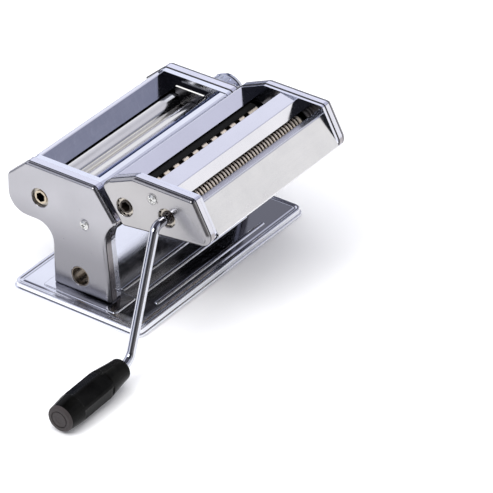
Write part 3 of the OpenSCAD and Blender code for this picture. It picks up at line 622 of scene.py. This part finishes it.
def pressing(name, x_span, y_span, r, rows, instead=()):
    """Rounded rectangle pressed from the base's sheet, from [inset, z] rows."""
    (x0, x1), (y0, y1) = x_span, y_span
    pts = [(x0, y0, r), (x1, y0, r), (x1, y1, r), (x0, y1, r)]
    verts, faces = [], []
    rings = [loop(verts, [(p.x, p.y, z) for p in outline(pts, t)]) for t, z in rows]
    bridge(faces, rings)
    faces += [tuple(rings[0]), tuple(rings[-1])]
    make(name, verts, faces, "machine_body", base_steel, 50, instead)


def rolled(edge, height):
    """Rows of a softly rolled edge that rises from the base's top."""
    turns = [math.radians(a) for a in range(0, 91, 15)]
    return [(edge * (1 - math.cos(q)), BASE_TOP + height * math.sin(q)) for q in turns]


UNDERSIDE = [(4.0, 5.8), (4.0, 0.4), (3.6, 0.0), (0.5, 0.0)]
LOWER_STEP = [(0.0, 0.5), (0.0, 2.3), (0.25, 2.8), (0.8, 3.0), (1.45, 3.15)]
UPPER_STEP = [(1.6, 3.5), (1.6, 6.2), (1.85, 6.85), (2.5, 7.2), (3.6, 7.25)]
TOP_GROOVE = [(4.6, 6.9), (5.2, 6.55), (6.2, 6.5), (7.0, 6.7), (7.8, 7.1), (8.8, 7.2)]
pressing("base_tray", (-BASE_X, BASE_X), (-BASE_Y, BASE_Y), BASE_R,
         UNDERSIDE + LOWER_STEP + UPPER_STEP + TOP_GROOVE, ("base_plate",))
for i, y in enumerate((-52, -34, -17.5, 48)):
    pressing("base_rib_%d" % i, (-RIB_X, RIB_X), (y - RIB_HALF, y + RIB_HALF), 2.0, rolled(2.0, RIB_H))
for x_span, word in (((-107.5, -78.5), "left"), ((78.5, 107.5), "right")):
    pressing("base_pad_%s" % word, x_span, (-35, 41), 3.5, rolled(1.2, 1.0))

# ---------- crank grip ----------
CRANK_TURN = math.radians(7.4)
CRANK_REACH = 96
CRANK_SLOPE = math.radians(61)
CRANK_X = -111.5
GRIP_LEAN = math.radians(2)
GRIP_X, BORE_END, BORE_R = -174, -180, 4.0
GRIP_N = 160
PANELS = 6
PANEL_DEPTH = 1.15

# The crank's arm ends at GRIP, and the grip leans about BEND, the last bend of the rod
DOWN = Vector((0, -math.sin(CRANK_TURN), -math.cos(CRANK_TURN)))
ACROSS = Vector((0, -math.cos(CRANK_TURN), math.sin(CRANK_TURN)))
GRIP = (FINE[0] + CRANK_REACH * DOWN.y, FINE[1] + CRANK_REACH * DOWN.z)
BEND = Vector((CRANK_X - CRANK_REACH / math.tan(CRANK_SLOPE), *GRIP))
LEAN = Matrix.Translation(BEND) @ Matrix.Rotation(GRIP_LEAN, 4, ACROSS) @ Matrix.Translation(-BEND)


def soft(a, b, v):
    k = max(0.0, min(1.0, (v - a) / (b - a)))
    return k * k * (3 - 2 * k)


def grip_radius(u):
    """Outer radius of the grip at u mm from its rod end."""
    if u < 3:
        return 7.2 + 2.5 * math.sin(math.radians(30 * u))
    if u < 30:
        return 9.7 + 3.3 * (soft(3, 30, u) * 0.4 + (u - 3) / 27 * 0.6)
    return 13.0 - 1.5 * max(0.0, u - 65) / 14


def panel_cut(u, a, r):
    """How deep the flat panels are cut at u along the grip and at angle a round it."""
    k = (a / (2 * math.pi) * PANELS + 0.35) % 1 - 0.5
    inside = 1 - soft(0.36, 0.40, abs(k))
    reach = soft(26, 27, u) * (1 - soft(63.5, 64.5, u))
    flat = (r - PANEL_DEPTH) / math.cos(k * 2 * math.pi / PANELS)
    return inside * reach * max(0.0, r - flat)


def grip_ring(verts, u):
    """Section of the grip at u mm from its rod end, panels and all."""
    pts = []
    for i in range(GRIP_N):
        a = 2 * math.pi * i / GRIP_N
        r = grip_radius(u) - panel_cut(u, a, grip_radius(u))
        pts.append((GRIP_X - u, GRIP[0] + r * math.cos(a), GRIP[1] + r * math.sin(a)))
    return loop(verts, pts)


ROUNDED_END = [0, 0.15, 0.4, 0.8, 1.3, 2, 3]
PANEL_START = [25.6, 26, 26.3, 26.7, 27, 27.4]
PANEL_END = [63.5, 63.8, 64.2, 64.5, 64.8, 66]
TAPER = [68, 72, 76, 78.4, 79]
verts, faces = [], []
loops = [grip_ring(verts, u)
         for u in ROUNDED_END + list(range(4, 26)) + PANEL_START + list(range(28, 64)) + PANEL_END + TAPER]
bore = [ring_at(verts, x, GRIP, BORE_R, GRIP_N) for x in (BORE_END, GRIP_X)]
bridge(faces, bore + loops)
faces.append(tuple(loops[-1]))
make("grip_handle", verts, faces, "grip", grip_mat, 40, ("crank_grip",), pose=LEAN)

CAP_EDGE = [(-253, 11.4), (-254.4, 11.4), (-255.2, 11.1), (-255.8, 10.5), (-256, 9.9)]
CAP_GROOVE = [(-256, 7.6), (-255.2, 7.4), (-255.2, 6.8), (-256, 6.6)]
CAP_DIMPLE = [(-256, 3.4), (-255.8, 3.1), (-255.8, 0.6)]
lathe("grip_cap", GRIP, CAP_EDGE + CAP_GROOVE + CAP_DIMPLE, "grip", cap_mat, 72,
      ("grip_end_cap",), 30, LEAN)

# ---------- thickness numbers on the knob ----------
DIGITS, DIGIT_H, DIGIT_SQUASH = 9, 6.2, 0.9
DIGIT_X = 106.5
FIRST_TURN, NEXT_TURN = 110, 40
KNOB_R, NUMBER_R = 17.5, 17.56

verts, faces = [], []
for k in range(DIGITS):
    cu = bpy.data.curves.new("digit", "FONT")
    cu.body = str(k + 1)
    cu.size = DIGIT_H
    cu.align_x = "CENTER"
    cu.align_y = "CENTER"
    ob = bpy.data.objects.new("digit", cu)
    bpy.context.scene.collection.objects.link(ob)
    bpy.context.view_layer.update()
    me = bpy.data.meshes.new_from_object(ob.evaluated_get(bpy.context.evaluated_depsgraph_get()))
    bm = bmesh.new()
    bm.from_mesh(me)
    bmesh.ops.triangulate(bm, faces=bm.faces)
    bmesh.ops.subdivide_edges(bm, edges=bm.edges, cuts=1)
    start = len(verts)
    for v in bm.verts:
        a = math.radians(FIRST_TURN - NEXT_TURN * k) - v.co.x / KNOB_R
        verts.append((DIGIT_X + v.co.y * DIGIT_SQUASH,
                      FRONT[0] + NUMBER_R * math.cos(a), FRONT[1] + NUMBER_R * math.sin(a)))
    faces += [tuple(start + v.index for v in f.verts) for f in bm.faces]
    bm.free()
    bpy.data.objects.remove(ob)
    bpy.data.meshes.remove(me)
    bpy.data.curves.remove(cu)
make("knob_numbers", verts, faces, "knob", ink, 30)

# ---------- floor ----------
bm = bmesh.new()
bmesh.ops.create_grid(bm, x_segments=8, y_segments=8, size=14)
me = bpy.data.meshes.new("floor")
bm.to_mesh(me)
bm.free()
floor = bpy.data.objects.new("floor", me)
bpy.context.scene.collection.objects.link(floor)
floor.location = (0, 0, -0.0002)
paper, g, b = material("floor_paper")
g.put(b.inputs["Base Color"], g.mix(g.noise(g.place(), 3, 3), (0.93, 0.93, 0.93), (0.95, 0.95, 0.95)))
b.inputs["Roughness"].default_value = 0.9
b.inputs["Emission Color"].default_value = (1.0, 1.0, 1.0, 1.0)
b.inputs["Emission Strength"].default_value = 0.10
b.inputs["Specular IOR Level"].default_value = 0.1
me.materials.append(paper)

# ---------- world: a studio's bright walls and dark gaps, by height and side ----------
DUSK, HAZE, CEILING = (0.22, 0.235, 0.32), (0.66, 0.67, 0.80), (0.10, 0.10, 0.13)
WALL = (0.92, 0.94, 1.05)
CAMERA_SIDE = (-0.68, -0.49, 0.545)

world = bpy.data.worlds.new("studio")
bpy.context.scene.world = world
world.use_nodes = True
g = Graph(world.node_tree)
way = g.add("ShaderNodeTexCoord").outputs["Generated"]
x, y, z = g.xyz(way)
front_side = g.ramp(z, [(0.0, (1.0, 1.0, 1.0)), (0.39, (1.0, 0.99, 0.99)), (0.45, DUSK), (0.545, DUSK),
                        (0.60, HAZE), (0.74, HAZE), (0.80, (0.06, 0.06, 0.08)), (1.0, CEILING)])
rear_side = g.ramp(z, [(0.0, (0.05, 0.07, 0.15)), (0.17, (0.06, 0.08, 0.17)), (0.24, (0.80, 0.82, 0.92)),
                       (0.50, WALL), (0.58, WALL), (0.64, (0.76, 0.77, 0.90)), (0.74, (0.64, 0.65, 0.78)),
                       (0.80, (0.05, 0.05, 0.07)), (1.0, CEILING)])
sky = g.mix(g.range(y, -0.2, 0.25, 0, 1, True), front_side, rear_side)

# Dark gap round the place that the camera looks from, and a grey one low at the front
dot = g.add("ShaderNodeVectorMath", operation="DOT_PRODUCT")
g.put(dot.inputs[0], way)
dot.inputs[1].default_value = CAMERA_SIDE
sky = g.mix(g.range(dot.outputs["Value"], 0.74, 0.86, 0, 0.95, True), sky, (0.02, 0.02, 0.025))
low = g.math("MULTIPLY", g.range(x, 0.35, 0.15), g.range(z, 0.34, 0.24))
sky = g.mix(g.math("MULTIPLY", g.range(y, -0.55, -0.75), low), sky, (0.24, 0.23, 0.23))
background = world.node_tree.nodes["Background"]
g.put(background.inputs["Color"], sky)
background.inputs["Strength"].default_value = 1.0


# ---------- lights ----------
def area(name, where, to, size, power, glossy):
    li = bpy.data.lights.new(name, "AREA")
    li.shape = "RECTANGLE"
    li.size, li.size_y = size
    li.energy = power
    ob = bpy.data.objects.new(name, li)
    bpy.context.scene.collection.objects.link(ob)
    ob.location = where
    ob.rotation_mode = "QUATERNION"
    ob.rotation_quaternion = (Vector(to) - Vector(where)).to_track_quat("-Z", "Y")
    ob.visible_glossy = glossy
    ob.visible_camera = False


area("overhead_soft", (-0.4, -0.2, 2.2), (0, 0, 0), (2.6, 2.6), 62, False)
area("key_strip", (-1.5, 0.3, 1.5), (0, 0, 0.08), (0.7, 0.7), 12, True)
